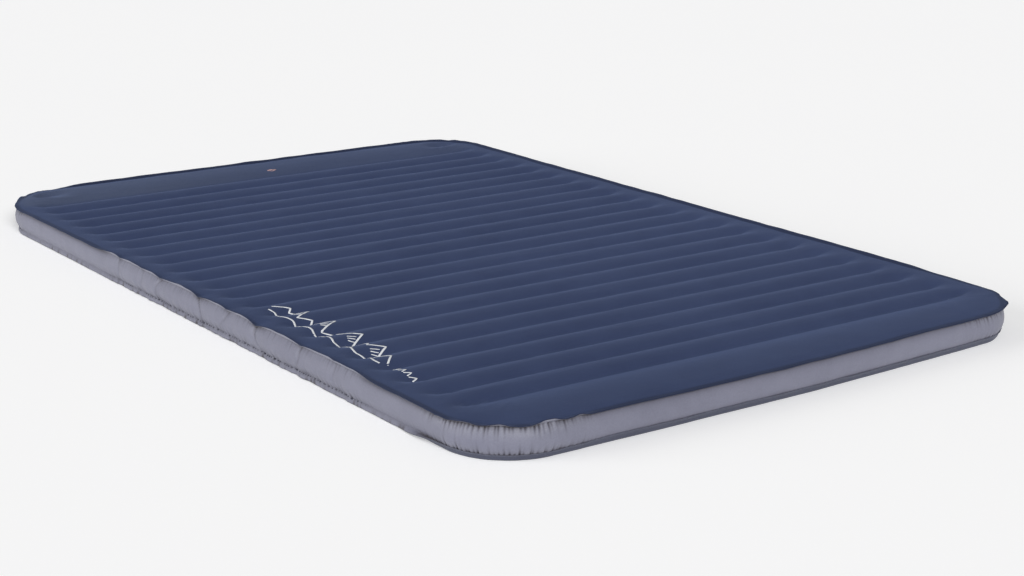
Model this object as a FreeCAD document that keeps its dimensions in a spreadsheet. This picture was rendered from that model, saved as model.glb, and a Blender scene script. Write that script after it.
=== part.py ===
import FreeCAD, Part
import Sketcher
import math
import os

# Inflatable sleeping pad: a double-width air pad whose two fabric sheets are held apart by a
# side wall and by transverse baffles, with a flat valve near each corner of the head end.
# X runs across the pad, +Y points to the head end, +Z up. The origin is the middle of the
# underside. All sizes are in millimetres.

doc = FreeCAD.newDocument("sleeping_pad")
sheet = doc.addObject("Spreadsheet::Sheet", "Sizes")

sizes = {
    # the pad as a whole, over its welded margins
    "padLength": 1950,
    "padWidth": 1220,
    "padThickness": 60,
    "cornerRadius": 125,
    # sheets, side wall and the welded margin that stands out around both
    "marginWidth": 8,
    "sheetThickness": 1,
    "wallThickness": 0.8,
    "wallBulge": 8,
    "crownRise": 7,
    "bottomSeamLevel": 9,
    "topRoll": 5,
    "bottomRoll": 8,
    # air channels across the pad and the baffles between them
    "endChannelWidth": 150,
    "channelCount": 22,
    "grooveDepth": 6,
    "baffleThickness": 0.6,
    "baffleWeldWidth": 10,
    "baffleEndGap": 65,
    "baffleGap": 0.3,
    "insulationThickness": 2,
    "insulationGap": 6,
    # valve drum in the head wall
    "valveOffset": 450,
    "drumWall": 4,
    "drumDepth": 10,
    "drumRise": 3,
    "holeClearance": 0.3,
    "weldRingWidth": 4.5,
    "weldRingThickness": 0.8,
    "weldRingGap": 0.05,
    # valve lid with its pump port
    "portRadius": 7.5,
    "portWall": 1.7,
    "portRise": 2.8,
    "seatStep": 1,
    "seatThickness": 1.6,
    "spokeWidth": 1.2,
    "plugShoulder": 2.3,
    "lidSetback": 1,
    "lidThickness": 1.5,
    "plugClearance": 0.5,
    "plugDepth": 3,
    "gasketThickness": 0.75,
    "gasketGap": 0.15,
    "gasketWidth": 2,
    # one-way flap and port cap
    "flapThickness": 0.8,
    "flapOverlap": 1.7,
    "flapGap": 0.5,
    "capClearance": 0.3,
    "capLift": 1.2,
    "capWall": 0.9,
    "capThickness": 1.5,
    "tabLength": 3,
    "rimSoftening": 0.7,
    "portSoftening": 0.4,
    # hinges of the lid, the cap and the flap
    "pinClearance": 0.05,
    "sideClearance": 0.3,
    "lidHingeOffset": 2.7,
    "lidPinRadius": 1.1,
    "lidKnuckleRadius": 2.2,
    "lidKnuckleWidth": 4,
    "capHingeOffset": 3.1,
    "capHingeRise": 2,
    "capPinRadius": 0.9,
    "capKnuckleRadius": 1.6,
    "capKnuckleWidth": 3,
    "flapHingeOffset": 1.2,
    "flapPinRadius": 0.4,
    "flapKnuckleRadius": 0.75,
    "flapKnuckleWidth": 2.4,
}
for row, (alias, value) in enumerate(sizes.items(), start=1):
    sheet.set(f"A{row}", alias)
    sheet.set(f"B{row}", str(value))
    sheet.setAlias(f"B{row}", alias)
doc.recompute()

subParts = []


def size(expression):
    return float(sheet.evalExpression(expression))


def bind(item, **expressions):
    for name, expression in expressions.items():
        item.setExpression(name, str(expression))


def place(item, x="0", y="0", z="0"):
    for axis, expression in zip("xyz", (x, y, z)):
        item.setExpression(f"Placement.Base.{axis}", str(expression))


def keep(item, label):
    item.Label = label
    subParts.append(item)
    return item


# ---- sketches and bodies ----


def newBody(name):
    return doc.addObject("PartDesign::Body", name)


def originPlane(body, role):
    return next(item for item in body.Origin.OriginFeatures if item.Role == role)


def outline(body, role, name, corners, arcs=None):
    # A closed outline whose corners are (x, y) expressions. arcs gives edge number: (radius, side),
    # where side is 1 for an arc that swells to the left of the edge's direction and -1 to the right.
    arcs = arcs or {}
    sketch = body.newObject("Sketcher::SketchObject", name)
    sketch.AttachmentSupport = (originPlane(body, role), [""])
    sketch.MapMode = "FlatFace"
    points = [FreeCAD.Vector(size(x), size(y), 0) for x, y in corners]
    starts = []
    ends = []
    for i, start in enumerate(points):
        end = points[(i + 1) % len(points)]
        if i in arcs:
            radius, side = arcs[i]
            chord = end - start
            rise = size(radius) - math.sqrt(max(size(radius) ** 2 - chord.Length**2 / 4, 0))
            left = FreeCAD.Vector(-chord.y, chord.x, 0).normalize()
            sketch.addGeometry(Part.Arc(start, (start + end) / 2 + left * rise * side, end))
        else:
            sketch.addGeometry(Part.LineSegment(start, end))
        forward = (sketch.getPoint(i, 1) - start).Length < 1e-6
        starts.append(1 if forward else 2)
        ends.append(2 if forward else 1)
    for i in range(len(points)):
        after = (i + 1) % len(points)
        sketch.addConstraint(Sketcher.Constraint("Coincident", i, ends[i], after, starts[after]))
    for i, (x, y) in enumerate(corners):
        for kind, expression in (("DistanceX", x), ("DistanceY", y)):
            at = sketch.addConstraint(Sketcher.Constraint(kind, -1, 1, i, starts[i], size(expression)))
            sketch.setExpression(f"Constraints[{at}]", expression)
    for i, (radius, side) in arcs.items():
        at = sketch.addConstraint(Sketcher.Constraint("Radius", i, size(radius)))
        sketch.setExpression(f"Constraints[{at}]", radius)
    return sketch


def roundedRectangle(body, name, width, length, corner):
    # starts half-way along the +X side, so that a section drawn on the XZ plane meets its start
    x = f"({width}) / 2"
    y = f"({length}) / 2"
    innerX = f"{x} - ({corner})"
    innerY = f"{y} - ({corner})"
    corners = [
        (x, "0"),
        (x, innerY),
        (innerX, y),
        (f"-({innerX})", y),
        (f"-{x}", innerY),
        (f"-{x}", f"-({innerY})"),
        (f"-({innerX})", f"-{y}"),
        (innerX, f"-{y}"),
        (x, f"-({innerY})"),
    ]
    arcs = {edge: (corner, -1) for edge in (1, 3, 5, 7)}
    return outline(body, "XY_Plane", name, corners, arcs)


def edgesAtLevel(shape, level):
    names = []
    for i, edge in enumerate(shape.Edges, start=1):
        box = edge.BoundBox
        if abs(box.ZMin - level) < 1e-4 and abs(box.ZMax - level) < 1e-4:
            names.append(f"Edge{i}")
    return names


def slab(name, width, length, corner, low, high, rollTop=None, rollBottom=None):
    # a rounded rectangle from level low to level high, with its top or bottom edge rolled off
    body = newBody(name)
    sketch = roundedRectangle(body, f"{name}_outline", width, length, corner)
    bind(sketch, **{"AttachmentOffset.Base.z": low})
    pad = body.newObject("PartDesign::Pad", f"{name}_pad")
    pad.Profile = sketch
    bind(pad, Length=f"({high}) - ({low})")
    doc.recompute()
    for roll, level in ((rollTop, high), (rollBottom, low)):
        if roll:
            base = body.Tip
            fillet = body.newObject("PartDesign::Fillet", f"{name}_roll")
            fillet.Base = (base, edgesAtLevel(base.Shape, size(level)))
            bind(fillet, Radius=roll)
            body.Tip = fillet
            doc.recompute()
    return body


# ---- booleans and plain solids ----


def cut(name, base, tool):
    item = doc.addObject("Part::Cut", name)
    item.Base = base
    item.Tool = tool
    return item


def fuse(name, items):
    item = doc.addObject("Part::MultiFuse", name)
    item.Shapes = items
    item.Refine = True
    return item


def common(name, items):
    item = doc.addObject("Part::MultiCommon", name)
    item.Shapes = items
    return item


def soften(name, base, radius, level, rounding):
    # rounds the circular edge of this radius that lies at this level
    item = doc.addObject("Part::Fillet", name)
    item.Base = base
    doc.recompute()
    for i, edge in enumerate(base.Shape.Edges, start=1):
        curve = edge.Curve
        if isinstance(curve, Part.Circle) and abs(curve.Radius - size(radius)) < 1e-4:
            if abs(edge.BoundBox.ZMin - size(level)) < 1e-3 and edge.BoundBox.ZLength < 1e-3:
                item.Edges = [(i, size(rounding), size(rounding))]
    return item


def box(name, x, y, z):
    # each of x, y and z is a (low, high) pair of expressions
    item = doc.addObject("Part::Box", name)
    spans = {"Length": x, "Width": y, "Height": z}
    bind(item, **{side: f"({high}) - ({low})" for side, (low, high) in spans.items()})
    place(item, x[0], y[0], z[0])
    return item


def disc(name, radius, low, high, x="0"):
    # a cylinder along Z
    item = doc.addObject("Part::Cylinder", name)
    bind(item, Radius=radius, Height=f"({high}) - ({low})")
    place(item, x, "0", low)
    return item


def pin(name, radius, width, x, z):
    # a cylinder along Y, centred on the XZ plane
    item = doc.addObject("Part::Cylinder", name)
    item.Placement.Rotation = FreeCAD.Rotation(FreeCAD.Vector(1, 0, 0), -90)
    bind(item, Radius=radius, Height=width)
    place(item, x, f"-({width}) / 2", z)
    return item


# ---- the two sheets ----

seamWidth = "(Sizes.padWidth - 2 * Sizes.marginWidth)"
seamLength = "(Sizes.padLength - 2 * Sizes.marginWidth)"
seamCorner = "(Sizes.cornerRadius - Sizes.marginWidth)"
topSeam = "(Sizes.padThickness - Sizes.crownRise)"
channelPitch = "((Sizes.padLength - 2 * Sizes.endChannelWidth) / Sizes.channelCount)"
crownRadius = f"({channelPitch} ^ 2 / (8 * Sizes.grooveDepth) + Sizes.grooveDepth / 2)"
wallMiddle = f"(({topSeam} + Sizes.bottomSeamLevel) / 2)"


def sheetSlab(name, inset, low, high, rollTop=None, rollBottom=None):
    return slab(
        name,
        f"{seamWidth} - 2 * ({inset})",
        f"{seamLength} - 2 * ({inset})",
        f"{seamCorner} - ({inset})",
        low,
        high,
        rollTop,
        rollBottom,
    )


def margin(name, low, high):
    # the flat welded margin that stands out all round
    outer = slab(f"{name}_outer", "Sizes.padWidth", "Sizes.padLength", "Sizes.cornerRadius", low, high)
    inner = sheetSlab(f"{name}_inner", "Sizes.sheetThickness", low, high)
    return cut(name, outer, inner)


def channelRow(name, inset, low):
    # the row of crowned channels, with a long half channel at each end of the pad
    crest = f"(Sizes.padThickness - {inset})"
    radius = f"({crownRadius} - {inset})"
    groove = f"({crest} - {radius} + sqrt({radius} ^ 2 - {channelPitch} ^ 2 / 4))"
    half = f"{channelPitch} / 2"
    rowHalf = f"Sizes.channelCount * {channelPitch} / 2"
    width = "Sizes.padWidth"
    body = newBody(name)
    section = outline(
        body,
        "YZ_Plane",
        f"{name}_section",
        [(f"-{half}", low), (half, low), (half, groove), (f"-{half}", groove)],
        {2: (radius, -1)},
    )
    bind(section, **{"AttachmentOffset.Base.x": f"{half} - {rowHalf}"})
    channel = body.newObject("PartDesign::Pad", f"{name}_channel")
    channel.Profile = section
    channel.SideType = "Symmetric"
    bind(channel, Length=width)
    doc.recompute()
    row = body.newObject("PartDesign::LinearPattern", f"{name}_row")
    row.Originals = [channel]
    row.Direction = (section, ["H_Axis"])
    bind(row, Length=f"(Sizes.channelCount - 1) * {channelPitch}", Occurrences="Sizes.channelCount")
    body.Tip = row
    doc.recompute()
    endSection = outline(
        body,
        "YZ_Plane",
        f"{name}_end_section",
        [
            ("0", low),
            ("Sizes.endChannelWidth", low),
            ("Sizes.endChannelWidth", crest),
            (half, crest),
            ("0", groove),
        ],
        {3: (radius, -1)},
    )
    bind(endSection, **{"AttachmentOffset.Base.x": rowHalf})
    end = body.newObject("PartDesign::Pad", f"{name}_end")
    end.Profile = endSection
    end.SideType = "Symmetric"
    bind(end, Length=width)
    doc.recompute()
    ends = body.newObject("PartDesign::Mirrored", f"{name}_ends")
    ends.Originals = [end]
    ends.MirrorPlane = (originPlane(body, "XZ_Plane"), [""])
    body.Tip = ends
    doc.recompute()
    return body


def topSheet():
    skin = "Sizes.sheetThickness"
    under = f"{topSeam} - 1"
    outer = common(
        "top_outer",
        [
            sheetSlab("top_outer_slab", "0", topSeam, "Sizes.padThickness", "Sizes.topRoll"),
            channelRow("top_outer_row", "0", f"{topSeam} - 2"),
        ],
    )
    inner = common(
        "top_inner",
        [
            sheetSlab("top_inner_slab", skin, under, f"Sizes.padThickness - {skin}", f"Sizes.topRoll - {skin}"),
            channelRow("top_inner_row", skin, f"{topSeam} - 2"),
        ],
    )
    crown = cut("top_crown", outer, inner)
    edge = margin("top_margin", topSeam, f"{topSeam} + {skin}")
    keep(fuse("top_sheet_solid", [crown, edge]), "top_sheet")


def bottomSheet():
    skin = "Sizes.sheetThickness"
    level = "Sizes.bottomSeamLevel"
    outer = sheetSlab("bottom_outer", "0", "0", level, rollBottom="Sizes.bottomRoll")
    inner = sheetSlab("bottom_inner", skin, skin, f"{level} + 1", rollBottom=f"Sizes.bottomRoll - {skin}")
    tray = cut("bottom_tray", outer, inner)
    edge = margin("bottom_margin", f"{level} - {skin}", level)
    keep(fuse("bottom_sheet_solid", [tray, edge]), "bottom_sheet")


# ---- side wall, baffles and insulation ----

wallChord = f"({topSeam} - Sizes.bottomSeamLevel - 2 * Sizes.wallThickness)"
wallRadius = f"({wallChord} ^ 2 / (8 * Sizes.wallBulge) + Sizes.wallBulge / 2)"


def sideWall():
    # one strip of fabric swept round the pad, bulged by the air, with a margin turned out
    # under the top sheet and another on the bottom sheet
    body = newBody("wall_band")
    path = roundedRectangle(body, "wall_path", seamWidth, seamLength, seamCorner)
    seam = f"{seamWidth} / 2"
    inside = f"{seam} - Sizes.wallThickness"
    outside = f"{seam} + Sizes.marginWidth"
    top = topSeam
    low = "Sizes.bottomSeamLevel"
    underTop = f"{top} - Sizes.wallThickness"
    overLow = f"{low} + Sizes.wallThickness"
    section = outline(
        body,
        "XZ_Plane",
        "wall_section",
        [
            (inside, top),
            (outside, top),
            (outside, underTop),
            (seam, underTop),
            (seam, overLow),
            (outside, overLow),
            (outside, low),
            (inside, low),
            (inside, overLow),
            (inside, underTop),
        ],
        {3: (wallRadius, 1), 8: (wallRadius, -1)},
    )
    band = body.newObject("PartDesign::AdditivePipe", "wall_sweep")
    band.Profile = section
    band.Spine = (path, [])
    band.Mode = "Frenet"
    body.Tip = band
    doc.recompute()
    holes = []
    for side, sign in (("left", "-"), ("right", "")):
        hole = doc.addObject("Part::Cylinder", f"{side}_valve_hole")
        hole.Placement.Rotation = FreeCAD.Rotation(FreeCAD.Vector(1, 0, 0), -90)
        bind(hole, Radius=holeRadius, Height="Sizes.wallBulge * 4")
        place(hole, f"{sign}Sizes.valveOffset", f"{seamLength} / 2 - 2 * Sizes.wallBulge", wallMiddle)
        holes.append(hole)
    keep(cut("side_wall_solid", cut("wall_first_hole", body, holes[0]), holes[1]), "side_wall")


def baffle(number):
    # an upright web with a weld strip along its foot and its head, one under each groove
    name = f"baffle_{number:02d}"
    halfLength = f"({seamWidth} / 2 - Sizes.baffleEndGap)"
    span = (f"-{halfLength}", halfLength)
    middle = f"({number} - 1 - Sizes.channelCount / 2) * {channelPitch}"
    film = "Sizes.baffleThickness"
    foot = "Sizes.sheetThickness"
    head = "(Sizes.padThickness - Sizes.grooveDepth - Sizes.sheetThickness - Sizes.baffleGap)"
    strip = (f"{middle} - Sizes.baffleWeldWidth / 2", f"{middle} + Sizes.baffleWeldWidth / 2")
    web = box(f"{name}_web", span, (f"{middle} - {film} / 2", f"{middle} + {film} / 2"), (foot, head))
    footStrip = box(f"{name}_foot", span, strip, (foot, f"{foot} + {film}"))
    headStrip = box(f"{name}_head", span, strip, (f"{head} - {film}", head))
    keep(fuse(f"{name}_solid", [web, footStrip, headStrip]), name)


def insulation():
    # a strip of batting hangs under the top sheet in every channel
    halfLength = f"({seamWidth} / 2 - Sizes.baffleEndGap)"
    high = "(Sizes.padThickness - Sizes.grooveDepth - Sizes.sheetThickness - Sizes.baffleGap)"
    low = f"{high} - Sizes.insulationThickness"
    indent = "(Sizes.baffleWeldWidth / 2 + Sizes.insulationGap)"
    count = int(size("Sizes.channelCount"))
    strips = []
    for number in range(count):
        start = f"({number} - Sizes.channelCount / 2) * {channelPitch}"
        span = (f"{start} + {indent}", f"{start} + {channelPitch} - {indent}")
        strips.append(box(f"batting_{number + 1:02d}", (f"-{halfLength}", halfLength), span, (low, high)))
    endStart = f"Sizes.channelCount * {channelPitch} / 2 + {indent}"
    endStop = "Sizes.padLength / 2 - Sizes.baffleEndGap"
    strips.append(box("batting_head", (f"-{halfLength}", halfLength), (endStart, endStop), (low, high)))
    strips.append(
        box("batting_foot", (f"-{halfLength}", halfLength), (f"-({endStop})", f"-({endStart})"), (low, high))
    )
    group = doc.addObject("Part::Compound", "insulation_group")
    group.Links = strips
    keep(group, "insulation_strips")


# ---- valves ----
# Each valve is drawn about its own axis: Z points out of the pad from the crest of the wall's
# bulge, and X points to the hinges, which are on the side nearer the middle of the pad.

portOuter = "(Sizes.portRadius + Sizes.portWall)"
seatRadius = "(Sizes.portRadius - Sizes.seatStep)"
throatRadius = f"({portOuter} + Sizes.plugShoulder)"
drumRadius = f"({throatRadius} + Sizes.drumWall)"
holeRadius = f"({drumRadius} + Sizes.holeClearance)"
lidRadius = f"({drumRadius} - Sizes.lidSetback)"
rimTop = "Sizes.drumRise"
gasketLow = f"({rimTop} + Sizes.gasketGap)"
lidLow = f"({gasketLow} + Sizes.gasketThickness)"
lidTop = f"({lidLow} + Sizes.lidThickness)"
portTop = f"({lidTop} + Sizes.portRise)"
plugLow = f"({rimTop} - Sizes.plugDepth)"
plugRadius = f"({throatRadius} - Sizes.plugClearance)"
flapTop = f"({plugLow} - Sizes.flapGap)"
flapMiddle = f"({flapTop} - Sizes.flapThickness / 2)"
flapRadius = f"({seatRadius} + Sizes.flapOverlap)"
capLow = f"({portTop} + Sizes.capClearance)"
capTop = f"({capLow} + Sizes.capThickness)"
capInner = f"({portOuter} + Sizes.capClearance)"
capOuter = f"({capInner} + Sizes.capWall)"
lidHingeX = f"({drumRadius} + Sizes.lidHingeOffset)"
lidHingeZ = lidLow
capHingeX = f"({portOuter} + Sizes.capHingeOffset)"
capHingeZ = f"({lidTop} + Sizes.capHingeRise)"
flapHingeX = f"({flapRadius} + Sizes.flapHingeOffset)"


def setIntoWall(item, side):
    # turns a finished valve piece from its own axes into the head wall
    toHinge = FreeCAD.Vector(1 if side == "left" else -1, 0, 0)
    outward = FreeCAD.Vector(0, 1, 0)
    item.Placement.Rotation = FreeCAD.Rotation(toHinge, outward.cross(toHinge), outward, "ZXY")
    sign = "-" if side == "left" else ""
    place(item, f"{sign}Sizes.valveOffset", f"{seamLength} / 2 + Sizes.wallBulge", wallMiddle)


def halfWidth(knuckle):
    return f"(Sizes.{knuckle}KnuckleWidth / 2)"


def hingeEars(name, knuckle, x, z, footLow, footX):
    # a pair of ears with a pin between them, which stand on the piece that carries the hinge
    radius = f"Sizes.{knuckle}KnuckleRadius"
    inner = f"({halfWidth(knuckle)} + Sizes.sideClearance)"
    outer = f"({inner} + Sizes.{knuckle}KnuckleWidth / 2)"
    block = box(f"{name}_block", footX, (f"-{outer}", outer), footLow)
    eye = pin(f"{name}_eye", radius, f"2 * {outer}", x, z)
    slot = box(
        f"{name}_slot",
        (f"{x} - {radius} - 1", f"{x} + {radius} + 1"),
        (f"-{inner}", inner),
        (f"{footLow[1]} - {radius} * 4", f"{z} + {radius} + 1"),
    )
    ears = cut(f"{name}_ears", fuse(f"{name}_blank", [block, eye]), slot)
    rod = pin(f"{name}_pin", f"Sizes.{knuckle}PinRadius", f"2 * {outer}", x, z)
    return [ears, rod]


def knuckle(name, kind, x, z):
    return pin(f"{name}_knuckle", f"Sizes.{kind}KnuckleRadius", f"Sizes.{kind}KnuckleWidth", x, z)


def knuckleBore(name, kind, x, z):
    radius = f"Sizes.{kind}PinRadius + Sizes.pinClearance"
    return pin(f"{name}_knuckle_bore", radius, f"Sizes.{kind}KnuckleWidth + 2", x, z)


def weldRing(side):
    # a thin ring welded to the inside of the bulged wall around the drum
    name = f"{side}_valve_weld_ring"
    reach = f"({holeRadius} + Sizes.weldRingWidth)"
    centre = f"-{wallRadius} - Sizes.wallThickness - Sizes.weldRingGap"
    layers = []
    for part, radius in (("outer", wallRadius), ("inner", f"{wallRadius} - Sizes.weldRingThickness")):
        layer = doc.addObject("Part::Cylinder", f"{name}_{part}")
        layer.Placement.Rotation = FreeCAD.Rotation(FreeCAD.Vector(0, 1, 0), 90)
        bind(layer, Radius=radius, Height=f"2 * {reach} + 2")
        place(layer, f"-{reach} - 1", "0", centre)
        layers.append(layer)
    shell = cut(f"{name}_shell", layers[0], layers[1])
    blank = common(f"{name}_blank", [shell, disc(f"{name}_reach", reach, "-Sizes.drumDepth * 2", "1")])
    ring = cut(f"{name}_solid", blank, disc(f"{name}_hole", holeRadius, "-Sizes.drumDepth * 3", "2"))
    setIntoWall(keep(ring, name), side)


def housing(side):
    name = f"{side}_valve_housing"
    drum = disc(f"{name}_drum", drumRadius, "-Sizes.drumDepth", rimTop)
    drum = soften(f"{name}_rim", drum, drumRadius, rimTop, "Sizes.rimSoftening")
    ears = hingeEars(
        name,
        "lid",
        lidHingeX,
        lidHingeZ,
        ("0.4", rimTop),
        (f"{drumRadius} - 1", f"{lidHingeX} + Sizes.lidKnuckleRadius"),
    )
    throat = disc(f"{name}_throat", throatRadius, "-Sizes.drumDepth - 1", f"{rimTop} + 1")
    solid = fuse(f"{name}_solid", [cut(f"{name}_tube", drum, throat)] + ears)
    setIntoWall(keep(solid, name), side)


def lid(side):
    name = f"{side}_valve_lid"
    plate = disc(f"{name}_plate", lidRadius, lidLow, lidTop)
    plate = soften(f"{name}_edge", plate, lidRadius, lidTop, "Sizes.rimSoftening")
    plug = disc(f"{name}_plug", plugRadius, plugLow, lidLow)
    neck = disc(f"{name}_neck", portOuter, lidTop, portTop)
    neck = soften(f"{name}_lip", neck, portOuter, portTop, "Sizes.portSoftening")
    halfArm = halfWidth("lid")
    arm = box(
        f"{name}_arm", (f"{lidRadius} - 2", lidHingeX), (f"-{halfArm}", halfArm), (lidLow, lidTop)
    )
    tab = box(
        f"{name}_tab",
        (f"-{lidRadius} - Sizes.tabLength", f"-{lidRadius} + 1"),
        (f"-{halfArm} * 1.5", f"{halfArm} * 1.5"),
        (lidLow, lidTop),
    )
    solid = fuse(f"{name}_blank", [plate, plug, neck, arm, tab, knuckle(name, "lid", lidHingeX, lidHingeZ)])
    port = disc(f"{name}_port", "Sizes.portRadius", f"{plugLow} + Sizes.seatThickness", f"{portTop} + 1")
    seat = disc(f"{name}_seat", seatRadius, f"{plugLow} - 1", f"{portTop} + 1")
    bores = fuse(f"{name}_bores", [port, seat, knuckleBore(name, "lid", lidHingeX, lidHingeZ)])
    shell = cut(f"{name}_shell", solid, bores)
    # three spokes across the seat stop the flap from being blown outward
    spokes = []
    for turn in range(3):
        spoke = doc.addObject("Part::Box", f"{name}_spoke_{turn + 1}")
        angle = 120 * turn + 60
        spoke.Placement.Rotation = FreeCAD.Rotation(FreeCAD.Vector(0, 0, 1), angle)
        reach = f"{seatRadius} + 0.3"
        bind(spoke, Length=reach, Width="Sizes.spokeWidth", Height="Sizes.seatThickness - 0.3")
        across = "Sizes.spokeWidth / 2"
        place(spoke, f"{across} * sin({angle} deg)", f"-{across} * cos({angle} deg)", plugLow)
        spokes.append(spoke)
    capEars = hingeEars(
        f"{name}_cap_hinge",
        "cap",
        capHingeX,
        capHingeZ,
        (f"{lidTop} - 0.5", capHingeZ),
        (f"{capHingeX} - Sizes.capKnuckleRadius", f"{capHingeX} + Sizes.capKnuckleRadius"),
    )
    flapEars = hingeEars(
        f"{name}_flap_hinge",
        "flap",
        flapHingeX,
        flapMiddle,
        (flapMiddle, f"{plugLow} + 0.3"),
        (f"{flapHingeX} - Sizes.flapKnuckleRadius", f"{flapHingeX} + Sizes.flapKnuckleRadius"),
    )
    setIntoWall(keep(fuse(f"{name}_solid", [shell] + spokes + capEars + flapEars), name), side)


def gasket(side):
    name = f"{side}_valve_gasket"
    outer = disc(f"{name}_outer", f"{plugRadius} + 0.1 + Sizes.gasketWidth", gasketLow, lidLow)
    inner = disc(f"{name}_inner", f"{plugRadius} + 0.1", f"{gasketLow} - 1", f"{lidLow} + 1")
    setIntoWall(keep(cut(f"{name}_solid", outer, inner), name), side)


def flap(side):
    name = f"{side}_valve_flap"
    low = f"{flapTop} - Sizes.flapThickness"
    half = halfWidth("flap")
    plate = disc(f"{name}_plate", flapRadius, low, flapTop)
    tab = box(f"{name}_tab", (f"{flapRadius} - 1", flapHingeX), (f"-{half}", half), (low, flapTop))
    blank = fuse(f"{name}_blank", [plate, tab, knuckle(name, "flap", flapHingeX, flapMiddle)])
    solid = cut(f"{name}_solid", blank, knuckleBore(name, "flap", flapHingeX, flapMiddle))
    setIntoWall(keep(solid, name), side)


def cap(side):
    name = f"{side}_valve_cap"
    half = halfWidth("cap")
    plate = disc(f"{name}_plate", capOuter, f"{lidTop} + Sizes.capLift", capTop)
    plate = soften(f"{name}_edge", plate, capOuter, capTop, "Sizes.rimSoftening")
    hollow = disc(f"{name}_hollow", capInner, lidTop, capLow)
    arm = box(
        f"{name}_arm",
        (f"{capInner} + 0.4", capHingeX),
        (f"-{half}", half),
        (f"{capHingeZ} - 0.8", f"{capHingeZ} + Sizes.capKnuckleRadius"),
    )
    tab = box(
        f"{name}_tab",
        (f"-{capOuter} - Sizes.tabLength", f"-{capOuter} + 1"),
        (f"-{half} * 1.5", f"{half} * 1.5"),
        (capLow, f"{capTop} - 0.5"),
    )
    cup = cut(f"{name}_cup", plate, hollow)
    blank = fuse(f"{name}_blank", [cup, arm, tab, knuckle(name, "cap", capHingeX, capHingeZ)])
    solid = cut(f"{name}_solid", blank, knuckleBore(name, "cap", capHingeX, capHingeZ))
    setIntoWall(keep(solid, name), side)


# ---- build, check and write ----

topSheet()
bottomSheet()
sideWall()
for number in range(1, int(size("Sizes.channelCount")) + 2):
    baffle(number)
insulation()
for side in ("left", "right"):
    weldRing(side)
    housing(side)
    lid(side)
    gasket(side)
    flap(side)
    cap(side)
doc.recompute()

for item in doc.Objects:
    if "Invalid" in item.State or "Error" in item.State:
        raise RuntimeError(f"{item.Name} did not build: {item.State}")
for item in subParts:
    shape = item.Shape
    if shape.isNull() or not shape.isValid() or not shape.Solids:
        raise RuntimeError(f"{item.Label} is not a valid solid")

os.makedirs("parts", exist_ok=True)
for item in subParts:
    item.Shape.exportStep(f"parts/{item.Label}.step")
    bounds = item.Shape.BoundBox
    print(
        f"{item.Label:26s} solids {len(item.Shape.Solids):2d}  volume {item.Shape.Volume / 1000:10.2f} cm3"
        f"  x {bounds.XMin:8.2f} {bounds.XMax:8.2f}  y {bounds.YMin:8.2f} {bounds.YMax:8.2f}"
        f"  z {bounds.ZMin:6.2f} {bounds.ZMax:6.2f}"
    )
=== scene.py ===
# A double air pad for camping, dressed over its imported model: a navy top with sewn channels,
# a grey bulging wall, a slate underside and two flat valves in the head end.
import math

import bpy
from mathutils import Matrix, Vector, noise
from mathutils.bvhtree import BVHTree


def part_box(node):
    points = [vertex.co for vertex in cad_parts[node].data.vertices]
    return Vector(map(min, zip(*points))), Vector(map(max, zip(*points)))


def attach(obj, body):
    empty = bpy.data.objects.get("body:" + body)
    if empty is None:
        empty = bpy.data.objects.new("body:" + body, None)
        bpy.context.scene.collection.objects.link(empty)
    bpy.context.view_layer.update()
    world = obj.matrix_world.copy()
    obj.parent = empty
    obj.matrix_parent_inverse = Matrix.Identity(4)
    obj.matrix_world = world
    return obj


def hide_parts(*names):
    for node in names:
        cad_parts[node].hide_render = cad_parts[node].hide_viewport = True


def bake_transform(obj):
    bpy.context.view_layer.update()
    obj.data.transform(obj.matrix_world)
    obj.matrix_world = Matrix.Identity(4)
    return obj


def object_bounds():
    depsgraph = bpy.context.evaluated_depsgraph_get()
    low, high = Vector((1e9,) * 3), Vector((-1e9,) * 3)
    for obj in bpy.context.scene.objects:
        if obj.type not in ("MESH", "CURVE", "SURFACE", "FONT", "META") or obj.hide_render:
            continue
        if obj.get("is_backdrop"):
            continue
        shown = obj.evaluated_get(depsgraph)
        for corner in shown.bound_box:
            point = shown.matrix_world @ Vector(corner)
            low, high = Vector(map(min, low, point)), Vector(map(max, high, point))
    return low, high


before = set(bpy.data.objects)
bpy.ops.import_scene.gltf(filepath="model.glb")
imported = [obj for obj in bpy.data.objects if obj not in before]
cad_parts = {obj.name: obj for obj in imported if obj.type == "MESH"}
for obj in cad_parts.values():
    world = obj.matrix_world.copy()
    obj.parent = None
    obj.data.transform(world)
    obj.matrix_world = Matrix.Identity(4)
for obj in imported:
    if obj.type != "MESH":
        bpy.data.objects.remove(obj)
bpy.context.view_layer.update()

scene = bpy.context.scene

# shared sizes, read from the frame
topLow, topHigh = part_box("top_sheet")
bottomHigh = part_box("bottom_sheet")[1]
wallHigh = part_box("side_wall")[1]
baffleNames = sorted(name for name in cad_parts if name.startswith("baffle_"))
baffleBoxes = [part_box(name) for name in baffleNames]
grooveLines = sorted((low[1] + high[1]) / 2 for low, high in baffleBoxes)
pitch = grooveLines[1] - grooveLines[0]
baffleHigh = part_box("baffle_12")[1]

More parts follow.
